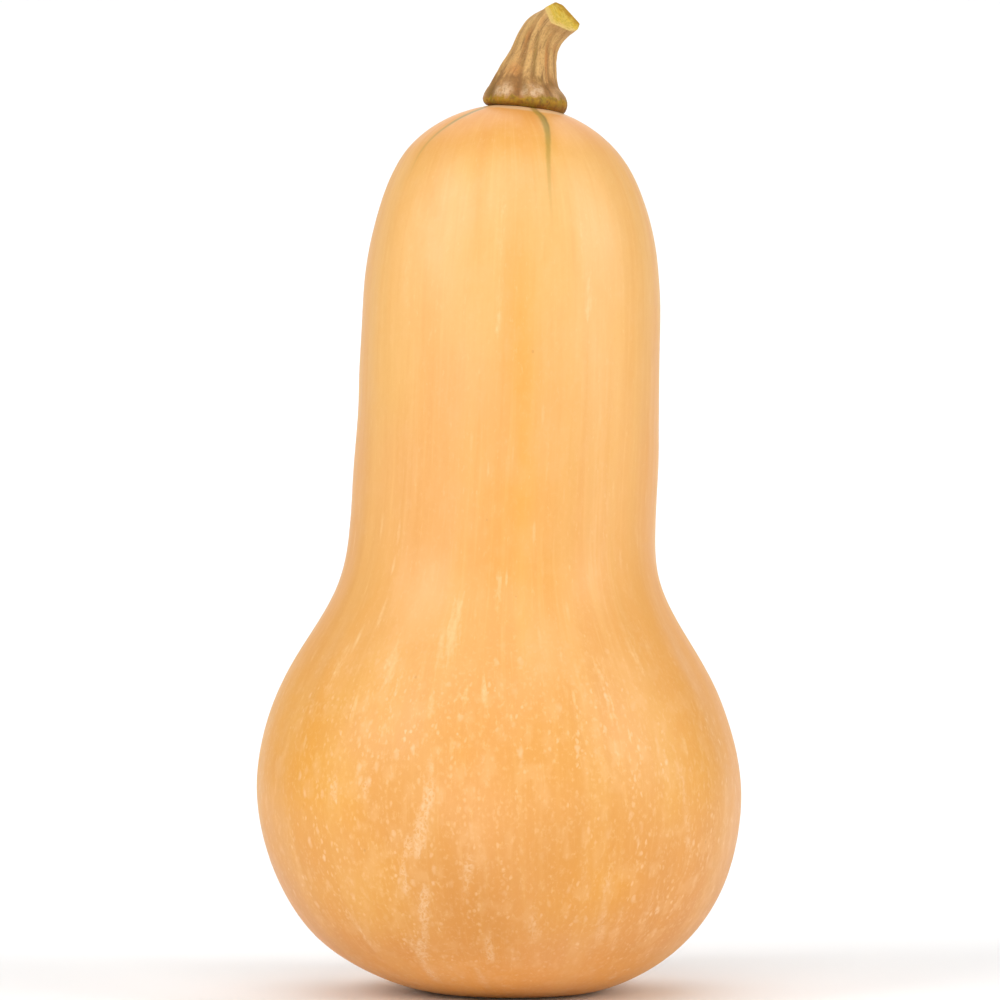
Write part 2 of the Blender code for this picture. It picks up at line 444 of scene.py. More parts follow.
def make_fruit():
    n = FRUIT_SEGMENTS
    # The seam of the bake map is at the back.
    angle = math.radians(90) + 2 * math.pi * np.arange(n) / n
    shares = np.linspace(0, 1, FRUIT_RINGS)
    z, r, c = outline(shares)
    # Blossom end inside the resting ring: radius, height.
    scar = ((0, 1.0), (1.2, 1.15), (2.6, 1.0), (3.6, 0.75), (4.3, 1.5), (5.4, 1.75), (6.6, 1.2), (8.0, 0.3), (9.6, 0.0))
    rad, high = np.array(scar, float).T
    fine = np.concatenate((np.linspace(0, 9.6, 30), np.linspace(10.6, 17.6, 8)))
    low = np.interp(fine, rad, high)
    low = np.where(fine < 9.6, spline(rad, high, np.minimum(fine, 9.6), start=0, end=0), low)
    z = np.concatenate((low, z))
    r = np.concatenate((fine, r))
    c = np.concatenate((np.full(len(fine), OUTLINE[0][2]), c))
    A, Z = np.meshgrid(angle, z)
    R = np.repeat(r[:, None], n, 1)
    C = np.repeat(c[:, None], n, 1)
    ca, sa = np.cos(A), np.sin(A)
    # Faint lobes, deeper on the bulb's shoulder.
    bulb = smooth(12, 55, Z) * (1 - smooth(95, 128, Z))
    neck = smooth(95, 125, Z) * (1 - smooth(192, 214, Z))
    wave = np.cos(10 * A + 0.9 * np.sin(A) + 0.4)
    vary = 0.7 + 0.5 * np.sin(3 * A + 1.0)
    swell = (0.007 * bulb * vary + 0.003 * neck) * (wave - 0.4)
    # Soft folds where the bulb's shoulders meet the neck.
    for a, h, depth, wide, tall in (
        (-137, 84, 0.50, 5, 13),
        (-150, 86, 0.45, 5, 12),
        (-20, 84, 0.55, 6, 13),
        (-38, 88, 0.25, 5, 11),
        (30, 86, 0.5, 6, 13),
        (75, 84, 0.35, 6, 12),
        (120, 87, 0.5, 6, 13),
        (165, 85, 0.4, 5, 12),
    ):
        off = turn(A - math.radians(a)) * R
        swell -= depth / 50 * np.exp(-((off / wide) ** 2) - ((Z - h) / tall) ** 2)
    away = smooth(2.0, 16.0, Z) * smooth(12, 22, np.hypot(C + R * ca - STALK_CENTRE[0], R * sa))
    P = np.stack((C + R * ca, R * sa * DEPTH_RATIO, Z), -1)
    bumps = 0.34 * lumps(P / 31.0, 3) + 0.13 * lumps(P / 13.0, 5)
    flow = np.stack((ca * 50, sa * 50, Z), -1)
    bumps += 0.07 * lumps(flow / np.array((7.0, 7.0, 60.0)), 8)
    bumps += 0.035 * lumps(flow / np.array((2.6, 2.6, 22.0)), 9)
    bumps += 0.02 * rough_lumps(P / 4.0, 11, 3)
    wide = R * (1 + swell) + bumps * away
    P = np.stack((C + wide * ca, wide * sa * DEPTH_RATIO, Z), -1)
    # The skin draws in round the stalk in shallow furrows, under the green lines.
    sx, sy = P[..., 0] - STALK_CENTRE[0], P[..., 1]
    out = np.hypot(sx, sy)
    about = np.arctan2(sy, sx)
    top = smooth(200, 216, Z)
    furrow = np.zeros_like(out)
    line = np.full_like(out, 99.0)
    width = np.zeros_like(out)
    for a, strength, reach in GREEN:
        # Each line swings to one side as it leaves the stalk, then back.
        bend = np.radians(4.0 * smooth(10.6, 15.0, out) - 3.6 * smooth(17.0, 32.0, out))
        wander = math.radians(a) + bend + 0.006 * np.sin(out / 3.1 + a)
        off = turn(about - wander) * out
        furrow += strength * np.exp(-((off / 1.6) ** 2)) * (1 - smooth(14, 14 + 0.8 * reach, out))
        closer = (np.abs(off) < np.abs(line)) & (np.abs(turn(about - wander)) < 0.5)
        line = np.where(closer, off, line)
        down = out - FOOT_RADIUS + 0.55 * (221 - Z)
        fade = np.exp(-np.maximum(down - 6, 0) / (0.5 * reach)) * (1 - smooth(0.75 * reach, 1.15 * reach, down))
        width = np.where(closer, strength * fade, width)
    P[..., 2] -= top * 0.22 * furrow * smooth(11.5, 14, out)
    ob = wrapped("squash_fruit", P, np.concatenate(([0], np.cumsum(np.hypot(np.diff(r), np.diff(z))))))
    note(ob, "place", P)
    note(ob, "flow", flow)
    note(ob, "line", np.clip(line, -8, 8))
    note(ob, "green", width * (np.abs(line) < 6))
    note(ob, "foot", np.where(Z > 150, out - FOOT_RADIUS, 40))
    from_scar = np.hypot(P[..., 0] - OUTLINE[0][2], P[..., 1])
    note(ob, "scar", np.where(Z < 6, from_scar, 60))
    around = np.maximum(R, 6)
    note(ob, "amber_and_shade", spots(AMBER_AND_SHADE, A, Z, around))
    note(ob, "brushed", spots(BRUSHED, A, Z, around))
    net = np.zeros_like(Z)
    for k, (a, b, high, low, half, strength) in enumerate(BANDS):
        up = np.clip((Z - low) / (high - low), 0, 1)
        mid = np.radians(b + (a - b) * up)
        off = turn(A - mid) * around
        ends = smooth(low - 3, low + 2, Z) * (1 - smooth(high - 4, high + 3, Z))
        # It wanders a little and breaks up.
        here = np.stack((Z / 6.5, np.full_like(Z, k + 0.5), np.full_like(Z, 3.5)), -1)
        swing = 0.35 * half * np.sin(Z / 4.1 + a)
        gaps = smooth(-0.45, 0.05, lumps(here, 81))
        net = np.maximum(net, strength * ends * np.exp(-(((off - swing) / half) ** 2)) * (0.3 + 0.7 * gaps))
    note(ob, "net", net)
    note(ob, "cloud", rough_lumps(P / np.array((42.0, 42.0, 66.0)), 61, 3))
    note(ob, "wide", lumps(flow / np.array((6.5, 6.5, 120.0)), 65))
    note(ob, "broken", rough_lumps(P / np.array((6.5, 6.5, 11.0)), 67, 3))
    note(ob, "patchy", rough_lumps(P / np.array((2.3, 2.3, 4.8)), 71, 2))
    # Paler patches: painted highlights on the front, paler skin elsewhere.
    note(ob, "pale", spots(PALE_AND_HIGHLIGHT, A, Z, around))
    note(ob, "crowd", rough_lumps(P / np.array((15.0, 15.0, 20.0)), 75, 2))
    return ob


# ---- the stalk ---------------------------------------------------------------
# Rust and olive stains: angle half-way up, distance up it, half-width in degrees, half-height in mm, strength.
RUST = (
    (-55, 14, 4, 6, 0.9),
    (-128, 8.8, 15, 1.9, 0.8),
    (-120, 17, 5, 3.0, 0.7),
    (-40, 8.2, 8, 1.8, 0.6),
    (-96, 24, 6, 1.6, 0.6),
    (-24, 19, 8, 3.0, 0.4),
    (20, 12, 5, 5.0, 0.8),
    (52, 8.5, 12, 2.0, 0.7),
    (92, 15, 5, 6.0, 0.8),
    (170, 9, 12, 2.2, 0.8),
)
OLIVE = (
    (-85, 14, 5, 6, 1.0),
    (-112, 11, 6, 3.0, 0.4),
    (-128, 18, 5, 3.0, 0.5),
    (-62, 19, 8, 4.0, 0.4),
    (-48, 7.5, 5, 1.5, 0.7),
    (-46, 3.2, 9, 1.8, 0.8),
    (-16, 3.6, 10, 2.6, 0.7),
    (-166, 3.2, 16, 2.8, 1.0),
    (-103, 4.4, 5, 2.2, 0.7),
    (-72, 7.6, 6, 1.3, 0.6),
    (12, 15, 5, 5.0, 0.8),
    (52, 17, 5, 5.0, 0.8),
    (120, 13, 6, 5.0, 0.8),
)


def stalk_frame(along):
    p = np.array(STALK_LINE)
    far = np.concatenate(([0], np.cumsum(np.linalg.norm(np.diff(p, axis=0), axis=1))))

    def at(s):
        return np.stack([spline(far, p[:, k], s) for k in range(3)], -1)

    along = np.asarray(along, float)
    middle = at(along)
    run = at(along + 0.01) - at(along - 0.01)
    run /= np.linalg.norm(run, axis=-1, keepdims=True)
    across = np.cross(np.array((0.0, 1.0, 0.0)), run)
    across /= np.linalg.norm(across, axis=-1, keepdims=True)
    return middle, run, across, np.cross(run, across), float(far[-1])


def cut_outline(A):
    """Distance from the shaft's middle line to the side of the cut end's polygon, with its corners rounded."""
    middle, run, across, deep, length = stalk_frame(np.array([0.0]))
    middle, run, across, deep, _ = stalk_frame(np.array([length]))
    nx, ny, nz = CUT_NORMAL
    corners = []
    for x, z in CUT_CORNERS:
        c = np.array((x, -(nx * x + nz * z) / ny, z))
        corners.append((float(c @ across[0]), float(c @ deep[0])))
    corners.sort(key=lambda c: math.atan2(c[1], c[0]))
    soft = np.zeros(A.shape)
    for k, (ax, ay) in enumerate(corners):
        bx, by = corners[(k + 1) % len(corners)]
        ex, ey = by - ay, ax - bx
        size = math.hypot(ex, ey)
        ex, ey = ex / size, ey / size
        reach = ex * ax + ey * ay
        soft += np.maximum(0, (ex * np.cos(A) + ey * np.sin(A)) / reach) ** 26
    return soft ** (-1 / 26.0)


def make_stalk():
    n = STALK_SEGMENTS
    angle = math.radians(90) + 2 * math.pi * np.arange(n) / n
    *_, length = stalk_frame(np.array([0.0]))
    sides = length * np.linspace(0, 1, STALK_RINGS) ** 1.2
    middle, run, across, deep, _ = stalk_frame(sides)
    A, S = np.meshgrid(angle, sides)
    radii = np.array(STALK_RADII)
    base = spline(radii[:, 0], radii[:, 1], S)
    foot = 1 - smooth(3.5, 9.5, S)
    tip = smooth(0.72, 1.0, S / length)
    # Ridges that run up the shaft with a slight twist.
    twist = np.radians(RIDGE_TWIST * (S - 14))
    ridge = np.zeros_like(S)
    for a, height, half in RIDGES:
        off = turn(A - math.radians(a) - twist)
        ridge += height * np.exp(-((off / math.radians(half)) ** 2))
    ridge -= 0.2
    # The ribs spread into lobes round the foot, that fade out up the shaft.
    ca, sa = np.cos(A), np.sin(A)
    fibre = np.stack((ca * 6, sa * 6, S), -1)
    knob = np.zeros_like(S)
    warp = rough_lumps(fibre / np.array((2.4, 2.4, 2.6)), 36, 3)
    for a, half, reach, high in LOBES:
        off = np.abs(turn(A - math.radians(a)) / math.radians(half) + 0.20 * warp)
        up = np.where(S > high, (S - high) / (4.0 + 0.5 * warp), (S - high) / 3.4)
        knob = np.maximum(knob, reach * np.maximum(1 - off**2.3, 0) * np.exp(-(up**2)))
    crease = np.zeros_like(S)
    for points, depth in CREASES:
        nearest = np.full_like(S, 9.0)
        for (a0, s0), (a1, s1) in zip(points[:-1], points[1:]):
            ax, ay = turn(A - math.radians(a0) + 0.05 * warp) * 8.2, S - s0
            bx, by = math.radians(a1 - a0) * 8.2, s1 - s0
            t = np.clip((ax * bx + ay * by) / (bx * bx + by * by), 0, 1)
            nearest = np.minimum(nearest, np.hypot(ax - t * bx, ay - t * by))
        crease = np.maximum(crease, depth * np.exp(-((nearest / 0.34) ** 2)) * (0.65 + 0.35 * warp))
    low_foot = 1 - smooth(5.0, 10.5, S)
    swell = 0.45 * np.exp(-(((S - 2.7) / 1.9) ** 2))
    collar = 1 - smooth(0.0, 1.7, S)
    shaft = base + ridge * (1 - 0.6 * foot) * (1 - 0.7 * tip)
    # The shaft draws in on its under side just short of the cut, and ends as a polygon.
    beneath = 0.5 + 0.5 * np.cos(A + math.radians(20))
    shaft -= 0.55 * beneath * np.exp(-(((S - length + 1.6) / 1.3) ** 2))
    shaft = shaft * (1 - tip) + tip * cut_outline(A)
    rad = shaft + 0.95 * knob - 0.36 * low_foot + swell - 0.35 * collar - crease
    rough = 0.075 * rough_lumps(fibre / np.array((0.55, 0.55, 7.0)), 21, 3)
    rough += 0.07 * rough_lumps(fibre / np.array((1.5, 1.5, 1.9)), 25, 4)
    rough += 0.17 * low_foot * rough_lumps(fibre / np.array((2.0, 2.0, 1.5)), 31, 4)
    cracks = np.abs(lumps(fibre / np.array((0.9, 0.9, 5.0)), 41))
    rough -= 0.08 * (1 - smooth(0.0, 0.13, cracks)) * (1 - 0.5 * foot)
    # A small wart half-way up, beside the main ridge.
    wart = np.exp(-((turn(A - math.radians(-112)) / math.radians(5)) ** 2) - ((S - 18.6) / 0.55) ** 2)
    rad = rad + rough * (1 - 0.5 * tip) + 0.22 * wart
    out = rad[..., None] * (ca[..., None] * across[:, None] + sa[..., None] * deep[:, None])
    cut = np.array(CUT_NORMAL) / np.linalg.norm(CUT_NORMAL)
    slant = -(out @ cut) / (run @ cut)[:, None] * smooth(0.5, 1.0, S / length)
    P = middle[:, None] + out + slant[..., None] * run[:, None]
    # The foot's lower edge sits on the crown.
    first = P[0].copy()
    seat = crown_height(P[..., 0], P[..., 1]) + 0.04
    low = np.maximum(0, 1 - S / 5.0)
    P[..., 2] += low * (seat - first[None, :, 2])
    tuck = 0.6 * np.maximum(0, 1 - S / 0.9) ** 2
    P[..., 0] -= tuck * ca
    P[..., 1] -= tuck * sa
    P[..., 2] = np.maximum(P[..., 2], crown_height(P[..., 0], P[..., 1]) + 0.04)
    rings = [P]
    # The underside, from its middle out to the foot's edge.
    centre = np.array((STALK_CENTRE[0], STALK_CENTRE[1]))
    shares = np.linspace(0, 0.96, 9)
    under = []
    for s in shares:
        xy = centre * (1 - s) + P[0, :, :2] * s
        under.append(np.concatenate((xy, (crown_height(xy[:, 0], xy[:, 1]) + 0.04)[:, None]), 1))
    rings.insert(0, np.array(under))
    # The cut end: a thin pale rim, then shrunken wood that is slightly hollow.
    tip_middle = middle[-1]
    shares_in = np.concatenate((np.linspace(0.985, 0.9, 5), np.linspace(0.86, 0.0, 30)))
    face = []
    for s in shares_in:
        q = tip_middle + (P[-1] - tip_middle) * s
        local = (P[-1] - tip_middle) * s
        grain = rough_lumps(np.stack((local[:, 0] * 1.3, local[:, 1] * 1.3, local[:, 2] * 1.3), -1), 51, 4)
        sink = 0.30 * (1 - s**2) + 0.10 * float(smooth(1.0, 0.9, s)) - 0.10 * grain * float(smooth(1.0, 0.8, s))
        face.append(q - cut * sink[:, None])
    rings.append(np.array(face))
    points = np.concatenate(rings)
    count = len(shares)
    step = np.linalg.norm(np.diff(points[:, 0], axis=0), axis=1)
    place = np.concatenate(([0], np.cumsum(np.maximum(step, 0.06))))
    ob = wrapped("squash_stalk", points, place)
    pad_low = np.zeros((count, n))
    pad_high = np.zeros((len(shares_in), n))

    def whole(values, low_value, high_value):
        return np.concatenate((pad_low + low_value, values, pad_high + high_value))

    note(ob, "place", points)
    note(ob, "fibre", np.concatenate((np.repeat(fibre[:1], count, 0), fibre, np.repeat(fibre[-1:], len(shares_in), 0))))
    note(ob, "ridge", whole((ridge + 0.2) / 0.42, 0, 0))
    note(ob, "knob", whole(knob, 0, 0))
    note(ob, "crease", whole(np.minimum(crease / 0.24, 1), 0, 0))
    note(ob, "along", whole(S, 0, length))
    note(ob, "crack", whole((1 - smooth(0.0, 0.2, cracks)), 0, 0))
    note(ob, "foot", whole(low_foot, 1, 0))
    note(ob, "wart", whole(wart, 0, 0))
    share = np.repeat(shares_in[:, None], n, 1)
    note(ob, "cut", np.concatenate((pad_low, smooth(length - 0.25, length - 0.02, S), pad_high + 1)))
    note(ob, "rim", np.concatenate((pad_low, S * 0 + 1, share)))
    # Across the cut: from its lower left edge to its upper right one.
    over = (points - tip_middle) @ np.array((0.55, 0.45, 0.70))
    note(ob, "over", over)
    # Where the shaft's under side is, also used for the painted shade below the cut end's rim.
    note(ob, "beneath", whole(beneath, 0, 0))
    for name, table in (("rust", RUST), ("olive", OLIVE)):
        total = np.zeros_like(S)
        for a, h, wide, tall, strength in table:
            off = turn(A - math.radians(a) - twist) / math.radians(wide)
            total += strength * np.exp(-(off**2) - ((S - h) / tall) ** 2)
        note(ob, name, whole(np.minimum(total, 1), 0, 0))
    return ob


# ---- materials ---------------------------------------------------------------
class Net:
    """Builds a material's nodes."""

    def __init__(self, name):
        self.material = bpy.data.materials.new(name)
        self.material.use_nodes = True
        self.nodes = self.material.node_tree.nodes
        self.links = self.material.node_tree.links
        self.nodes.clear()
        self.shader = self.nodes.new("ShaderNodeBsdfPrincipled")
        self.out = self.nodes.new("ShaderNodeOutputMaterial")
        self.links.new(self.shader.outputs[0], self.out.inputs["Surface"])

    def put(self, socket, value):
        if isinstance(value, bpy.types.NodeSocket):
            self.links.new(value, socket)
        elif isinstance(value, (tuple, list)) and len(value) == 3 and len(socket.default_value) == 4:
            socket.default_value = (*value, 1.0)
        else:
            socket.default_value = value

    def attr(self, name, vector=False):
        node = self.nodes.new("ShaderNodeAttribute")
        node.attribute_name = name
        return node.outputs["Vector" if vector else "Fac"]

    def math(self, op, a, b=0.0, c=0.0, clamp=False):
        node = self.nodes.new("ShaderNodeMath")
        node.operation = op
        node.use_clamp = clamp
        for socket, value in zip(node.inputs, (a, b, c)):
            self.put(socket, value)
        return node.outputs[0]

    def add(self, a, b):
        return self.math("ADD", a, b)

    def sub(self, a, b):
        return self.math("SUBTRACT", a, b)

    def mul(self, a, b):
        return self.math("MULTIPLY", a, b)

    def step(self, value, low, high, a=0.0, b=1.0):
        node = self.nodes.new("ShaderNodeMapRange")
        node.interpolation_type = "SMOOTHSTEP"
        for socket, v in zip(node.inputs, (value, low, high, a, b)):
            self.put(socket, v)
        return node.outputs[0]

    def scaled(self, vector, by):
        node = self.nodes.new("ShaderNodeVectorMath")
        node.operation = "MULTIPLY"
        self.put(node.inputs[0], vector)
        node.inputs[1].default_value = by
        return node.outputs[0]

    def warped(self, vector, by, scale, amount):
        """vector pushed about by noise."""
        noise = self.nodes.new("ShaderNodeTexNoise")
        self.put(noise.inputs["Vector"], by)
        noise.inputs["Scale"].default_value = scale
        noise.inputs["Detail"].default_value = 2.0
        centre = self.nodes.new("ShaderNodeVectorMath")
        centre.operation = "SUBTRACT"
        self.links.new(noise.outputs["Color"], centre.inputs[0])
        centre.inputs[1].default_value = (0.5, 0.5, 0.5)
        size = self.nodes.new("ShaderNodeVectorMath")
        size.operation = "SCALE"
        self.links.new(centre.outputs[0], size.inputs[0])
        size.inputs["Scale"].default_value = amount
        total = self.nodes.new("ShaderNodeVectorMath")
        total.operation = "ADD"
        self.put(total.inputs[0], vector)
        self.links.new(size.outputs[0], total.inputs[1])
        return total.outputs[0]

    def noise(self, vector, scale=1.0, detail=3.0, rough=0.5, out="Fac"):
        node = self.nodes.new("ShaderNodeTexNoise")
        self.put(node.inputs["Vector"], vector)
        node.inputs["Scale"].default_value = scale
        node.inputs["Detail"].default_value = detail
        node.inputs["Roughness"].default_value = rough
        return node.outputs[out]

    def cells(self, vector, scale=1.0, feature="F1", out="Distance", random=1.0):
        node = self.nodes.new("ShaderNodeTexVoronoi")
        node.feature = feature
        self.put(node.inputs["Vector"], vector)
        node.inputs["Scale"].default_value = scale
        node.inputs["Randomness"].default_value = random
        return node.outputs[out]

    def cell_pair(self, vector):
        """Distance to the nearest of scattered points, and a colour that each point has to itself."""
        node = self.nodes.new("ShaderNodeTexVoronoi")
        self.put(node.inputs["Vector"], vector)
        node.inputs["Scale"].default_value = 1.0
        return node.outputs["Distance"], node.outputs["Color"]

    def red(self, colour):
        node = self.nodes.new("ShaderNodeSeparateColor")
        self.put(node.inputs[0], colour)
        return node.outputs[0], node.outputs[1], node.outputs[2]

    def mix(self, share, a, b, blend="MIX"):
        node = self.nodes.new("ShaderNodeMix")
        node.data_type = "RGBA"
        node.blend_type = blend
        node.clamp_factor = True
        self.put(node.inputs[0], share)
        self.put(node.inputs[6], a)
        self.put(node.inputs[7], b)
        return node.outputs[2]

    def bump(self, height, distance, strength=1.0, normal=None):
        node = self.nodes.new("ShaderNodeBump")
        self.put(node.inputs["Height"], height)
        node.inputs["Distance"].default_value = distance
        node.inputs["Strength"].default_value = strength
        if normal is not None:
            self.put(node.inputs["Normal"], normal)
        return node.outputs[0]

    def set(self, name, value):
        self.put(self.shader.inputs[name], value)


def rgb(red, green, blue):
    """A colour given as it looks on screen, as linear light."""
    return tuple((c / 255 / 12.92) if c <= 10 else ((c / 255 + 0.055) / 1.055) ** 2.4 for c in (red, green, blue))


GROUND_BULB = rgb(231, 155, 75)
GROUND_NECK = rgb(240, 175, 103)
GROUND_LOW = rgb(224, 145, 68)
GROUND_CROWN_AND_SHADE = rgb(232, 145, 58)


def skin():
    m = Net("squash_skin")
    place, flow = m.attr("place", True), m.attr("flow", True)
    axis = m.nodes.new("ShaderNodeSeparateXYZ")
    m.links.new(place, axis.inputs[0])
    z = axis.outputs[2]
    cloud, wide, broken = m.attr("cloud"), m.attr("wide"), m.attr("broken")
    # Ground colour: paler and yellower up the neck, deeper towards the blossom end, with painted shade on the crown and
    # painted light on the lowest band.
    colour = m.mix(m.step(z, 72, 172), GROUND_BULB, GROUND_NECK)
    colour = m.mix(m.step(z, 62, 20), colour, GROUND_LOW)
    # Deeper orange on the crown: partly its own colour, partly painted shade on the top.
    colour = m.mix(m.mul(m.step(z, 203, 217), 0.85), colour, GROUND_CROWN_AND_SHADE)
    # Painted light: the lowest band, by the floor, is made lighter to stand in for light from below.
    colour = m.mix(m.mul(m.step(z, 15, 4), 0.8), colour, rgb(246, 164, 74))
    # Clouds of pinker and of yellower skin.
    colour = m.mix(m.mul(m.step(cloud, 0.05, 0.55), 0.55), colour, rgb(238, 163, 98))
    colour = m.mix(m.mul(m.step(cloud, -0.05, -0.55), 0.5), colour, rgb(239, 168, 76))
    # Long faint stripes that follow the fruit from end to end.
    fine = m.noise(m.scaled(flow, (0.55, 0.55, 0.024)), 1.0, 2.0, 0.55)
    hair = m.noise(m.scaled(flow, (1.5, 1.5, 0.09)), 1.0, 2.0, 0.6)
    calm = m.step(z, 60, 110, 0.5, 1.0)
    colour = m.mix(m.mul(m.step(wide, 0.0, 0.7), m.mul(calm, 0.38)), colour, rgb(235, 155, 75))
    colour = m.mix(m.mul(m.step(wide, 0.0, -0.7), m.mul(calm, 0.34)), colour, rgb(246, 182, 110))
    colour = m.mix(m.mul(m.step(fine, 0.52, 0.74), m.mul(calm, 0.22)), colour, rgb(248, 188, 120))
    colour = m.mix(m.mul(m.step(fine, 0.48, 0.26), m.mul(calm, 0.20)), colour, rgb(231, 152, 74))
    colour = m.mix(m.mul(m.step(hair, 0.56, 0.80), 0.12), colour, rgb(252, 202, 138))
    colour = m.mix(m.mul(m.step(hair, 0.44, 0.22), 0.11), colour, rgb(228, 148, 72))
    # Deeper amber patches, with painted shade on the front of the lower neck.
    amber_and_shade = m.mul(m.attr("amber_and_shade"), m.step(broken, -0.5, 0.3, 0.45, 1.1))
    colour = m.mix(m.mul(amber_and_shade, 0.55), colour, rgb(237, 156, 56))
    # Paler patches: painted highlights on the front of the neck and the shoulders, paler skin elsewhere.
    pale = m.mul(m.attr("pale"), m.step(broken, 0.6, -0.3, 0.6, 1.1))
    colour = m.mix(m.mul(pale, 0.50), colour, rgb(249, 184, 118))
    # Pale brushed patches made of short upright strokes.
    strokes = m.noise(m.scaled(flow, (0.95, 0.95, 0.24)), 1.0, 3.0, 0.65)
    grainy = m.noise(m.scaled(place, (1.0, 1.0, 0.72)), 1.0, 3.0, 0.6)
    brushed = m.attr("brushed")
    ragged = m.add(m.mul(m.sub(strokes, 0.5), 1.7), m.mul(m.sub(grainy, 0.5), 0.8))
    stroke = m.mul(m.step(m.add(brushed, ragged), 0.15, 1.05), m.step(brushed, 0.02, 0.45))
    colour = m.mix(m.mul(stroke, 0.42), colour, rgb(253, 204, 148))
    loose = m.mul(m.step(strokes, 0.58, 0.72), m.step(grainy, 0.46, 0.62))
    colour = m.mix(m.mul(loose, 0.24), colour, rgb(252, 202, 142))
    # Pale netting in upright bands on the bulb: winding threads with pale haze between.
    worm = m.noise(m.scaled(place, (0.56, 0.56, 0.40)), 1.0, 2.0, 0.55)
    worm2 = m.noise(m.scaled(flow, (0.85, 0.85, 0.55)), 1.0, 1.0, 0.5)
    thread = m.math(
        "MAXIMUM",
        m.step(m.math("ABSOLUTE", m.sub(worm, 0.5)), 0.085, 0.015),
        m.mul(m.step(m.math("ABSOLUTE", m.sub(worm2, 0.48)), 0.080, 0.015), 0.8),
    )
    band = m.mul(m.attr("net"), m.step(broken, -0.45, 0.10))
    netted = m.mul(thread, m.step(band, 0.06, 0.74))
    colour = m.mix(m.mul(band, 0.28), colour, rgb(244, 182, 126))
    colour = m.mix(m.mul(netted, m.step(grainy, 0.30, 0.60, 0.26, 0.56)), colour, rgb(249, 200, 156))
    # Pale pores of many sizes, in upright trails, thick on the bulb and rare on the neck.
    trail = m.step(m.noise(m.scaled(flow, (0.26, 0.26, 0.022)), 1.0, 1.0, 0.5), 0.40, 0.56, 0.35, 1.0)
    crowd = m.step(m.attr("crowd"), -0.55, 0.20, 0.40, 1.0)
    bulbous = m.mul(m.step(z, 98, 66, 0.10, 1.0), m.mul(trail, crowd))
    uneven = m.warped(place, place, 0.45, 1.5)
    near, tint = m.cell_pair(m.scaled(uneven, (0.46, 0.46, 0.25)))
    pick, big, odd = m.red(tint)
    size = m.add(0.15, m.mul(m.mul(big, big), 0.30))
    pore = m.mul(m.step(m.math("DIVIDE", near, size), 1.25, 0.25), m.step(pick, 0.30, 0.42))
    pore = m.mul(m.mul(pore, bulbous), m.add(0.30, m.mul(odd, 0.70)))
    near2, tint2 = m.cell_pair(m.scaled(uneven, (0.90, 0.90, 0.52)))
    pick2, big2, odd2 = m.red(tint2)
    pore2 = m.mul(m.step(near2, 0.50, 0.15), m.mul(m.step(pick2, 0.40, 0.60), bulbous))
    colour = m.mix(m.mul(pore, 0.60), colour, rgb(252, 204, 162))
    colour = m.mix(m.mul(pore2, m.mul(odd2, 0.50)), colour, rgb(252, 202, 154))
    # Upright dashes on the shoulders and the lower neck.
    shoulder = m.mul(m.step(z, 50, 70), m.step(z, 170, 96, 0.18, 1.0))
    near3, tint3 = m.cell_pair(m.scaled(flow, (0.36, 0.36, 0.075)))
    pick3, big3, odd3 = m.red(tint3)
    dash = m.mul(m.step(near3, m.add(0.18, m.mul(big3, 0.22)), 0.08), m.step(pick3, 0.55, 0.70))
    dash = m.mul(m.mul(dash, shoulder), m.add(0.30, m.mul(odd3, 0.70)))
    colour = m.mix(m.mul(dash, m.step(grainy, 0.30, 0.60, 0.25, 0.55)), colour, rgb(253, 206, 152))
    # Fine mottling all over.
    patchy = m.attr("patchy")
    lower = m.step(z, 100, 60, 0.40, 1.0)
    colour = m.mix(m.mul(m.step(patchy, 0.05, 0.60), m.mul(lower, 0.20)), colour, rgb(249, 188, 132))
    colour = m.mix(m.mul(m.step(patchy, -0.05, -0.60), m.mul(lower, 0.20)), colour, rgb(230, 149, 66))
    colour = m.mix(m.mul(m.step(grainy, 0.52, 0.74), m.mul(lower, 0.20)), colour, rgb(252, 200, 148))
    colour = m.mix(m.mul(m.step(grainy, 0.48, 0.26), m.mul(lower, 0.18)), colour, rgb(226, 146, 68))
    # Green lines down from the stalk, darker along their right side at the top.
    local = m.sub(m.noise(m.scaled(place, (0.62, 0.62, 0.62)), 1.0, 3.0, 0.6), 0.5)
    line = m.add(m.attr("line"), m.mul(local, 0.35))
    green = m.attr("green")
    away = m.math("ABSOLUTE", line)
    core = m.mul(m.step(away, m.add(0.45, m.mul(green, 1.0)), m.mul(green, 0.40)), m.step(green, 0.0, 0.95))
    colour = m.mix(m.mul(m.mul(m.step(away, 3.0, 0.2), green), 0.52), colour, rgb(212, 152, 60))
    colour = m.mix(core, colour, rgb(158, 127, 42))
    dark = m.mul(m.step(m.math("ABSOLUTE", m.sub(line, 0.66)), 0.50, 0.10), m.mul(m.step(green, 0.45, 1.0), core))
    colour = m.mix(m.mul(dark, 0.90), colour, rgb(106, 96, 46))
    # Pale ring of skin at the stalk's foot.
    foot = m.add(m.attr("foot"), m.mul(local, 1.4))
    colour = m.mix(m.mul(m.step(foot, 2.4, 1.0), m.sub(0.85, m.mul(core, 0.7))), colour, rgb(244, 200, 158))
    colour = m.mix(m.mul(m.step(foot, 12, 2), 0.25), colour, rgb(240, 158, 84))
    # Blossom end: tan cork with a dark edge.
    scar = m.add(m.attr("scar"), m.mul(local, 1.6))
    corky = m.mix(m.step(grainy, 0.35, 0.65), rgb(132, 96, 56), rgb(190, 150, 98))
    colour = m.mix(m.step(scar, 5.6, 4.8), colour, corky)
    colour = m.mix(m.mul(m.step(m.math("ABSOLUTE", m.sub(scar, 5.2)), 0.8, 0.1), 0.6), colour, rgb(104, 72, 40))
    colour = m.mix(m.mul(m.step(scar, 14, 6), 0.35), colour, rgb(226, 172, 112))
